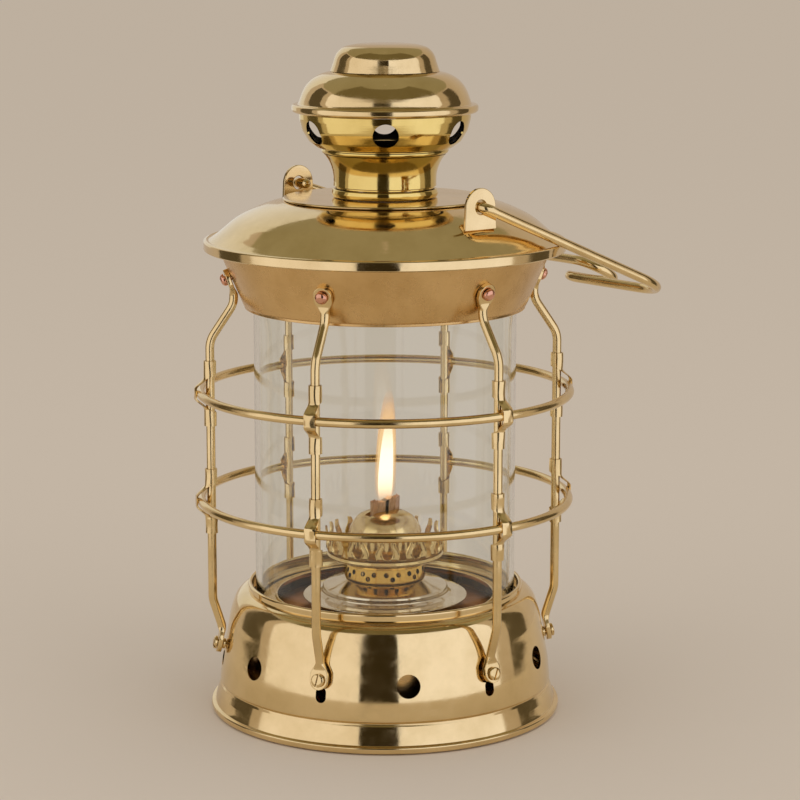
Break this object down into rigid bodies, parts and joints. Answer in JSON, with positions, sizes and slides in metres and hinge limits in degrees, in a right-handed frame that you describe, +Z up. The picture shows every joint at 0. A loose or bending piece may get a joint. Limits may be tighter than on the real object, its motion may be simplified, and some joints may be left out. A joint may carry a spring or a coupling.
{
  "type": "hurricane lamp",
  "caption": "Round brass oil lamp: vented drum, clear glass in a guard of bent rods and rings, domed roof with a hooded vent, and a swinging wire bail.",
  "frame": {"origin": "on the lamp's axis, in the plane it stands on", "axes": "+Z up along the lamp's axis; X along the bail's hinge; the bail rests towards +Y"},
  "size_m": [0.1736, 0.2227, 0.3025],
  "materials": {
    "polished_brass": "polished",
    "copper_rivet": "bright copper",
    "tinned_plate": "bright tinned sheet",
    "clear_glass": "clear",
    "cotton_wick": "woven cotton, charred at the top"
  },
  "bodies": {
    "lamp": {"drum": "polished_brass", "glass_seat": "polished_brass", "glass_chimney": "clear_glass", "chimney_holder": "polished_brass", "skirt": "polished_brass", "roof": "polished_brass", "roof_flange": "polished_brass", "vent_collar": "polished_brass", "vent_neck": "polished_brass", "vent_head": "polished_brass", "cap": "polished_brass", "cap_crown": "polished_brass", "bail_ear_left": "polished_brass", "bail_ear_right": "polished_brass", "guard_ring_lower": "polished_brass", "guard_ring_upper": "polished_brass", "guard_rod_1": "polished_brass", "guard_rod_2": "polished_brass", "guard_rod_3": "polished_brass", "guard_rod_4": "polished_brass", "guard_rod_5": "polished_brass", "guard_rod_6": "polished_brass", "rivet_1": "copper_rivet", "rivet_2": "copper_rivet", "rivet_3": "copper_rivet", "rivet_4": "copper_rivet", "rivet_5": "copper_rivet", "rivet_6": "copper_rivet", "foot_screw_1": "polished_brass", "foot_screw_2": "polished_brass", "foot_screw_3": "polished_brass", "foot_screw_4": "polished_brass", "foot_screw_5": "polished_brass", "foot_screw_6": "polished_brass", "ring_clip_lower_1": "polished_brass", "ring_clip_lower_2": "polished_brass", "ring_clip_lower_3": "polished_brass", "ring_clip_lower_4": "polished_brass", "ring_clip_lower_5": "polished_brass", "ring_clip_lower_6": "polished_brass", "ring_clip_upper_1": "polished_brass", "ring_clip_upper_2": "polished_brass", "ring_clip_upper_3": "polished_brass", "ring_clip_upper_4": "polished_brass", "ring_clip_upper_5": "polished_brass", "ring_clip_upper_6": "polished_brass"},
    "bail": {"bail": "polished_brass"},
    "font": {"bottom_plate": "polished_brass", "oil_tank": "polished_brass", "burner_plate": "tinned_plate", "wick_tube": "polished_brass", "burner_basket": "polished_brass", "flame_deflector": "polished_brass", "burner_gallery": "polished_brass"},
    "wick_raiser": {"wick_spindle": "polished_brass", "wick_knob": "polished_brass"},
    "wick": {"wick": "cotton_wick"}
  },
  "joints": [
    {"name": "bail_swing", "type": "hinge", "parent": "lamp", "child": "bail", "pos_m": [0, 0, 0.23533], "axis": [1, 0, 0], "range_deg": [0, 220]},
    {"name": "font_twist", "type": "hinge", "parent": "lamp", "child": "font", "pos_m": [0, 0, 0], "axis": [0, 0, 1], "range_deg": [0, 35]},
    {"name": "wick_slide", "type": "slide", "parent": "font", "child": "wick", "axis": [0, 0, 1], "range_m": [-0.005, 0.0105]},
    {"name": "raiser_turn", "type": "hinge", "parent": "font", "child": "wick_raiser", "pos_m": [-0.0046, 0, 0.0641], "axis": [0, -1, 0], "range_deg": [-100, 200]}
  ],
  "couplings": [
    {"joint": "raiser_turn", "follows": "wick_slide", "rad_per_m": 303.03}
  ]
}
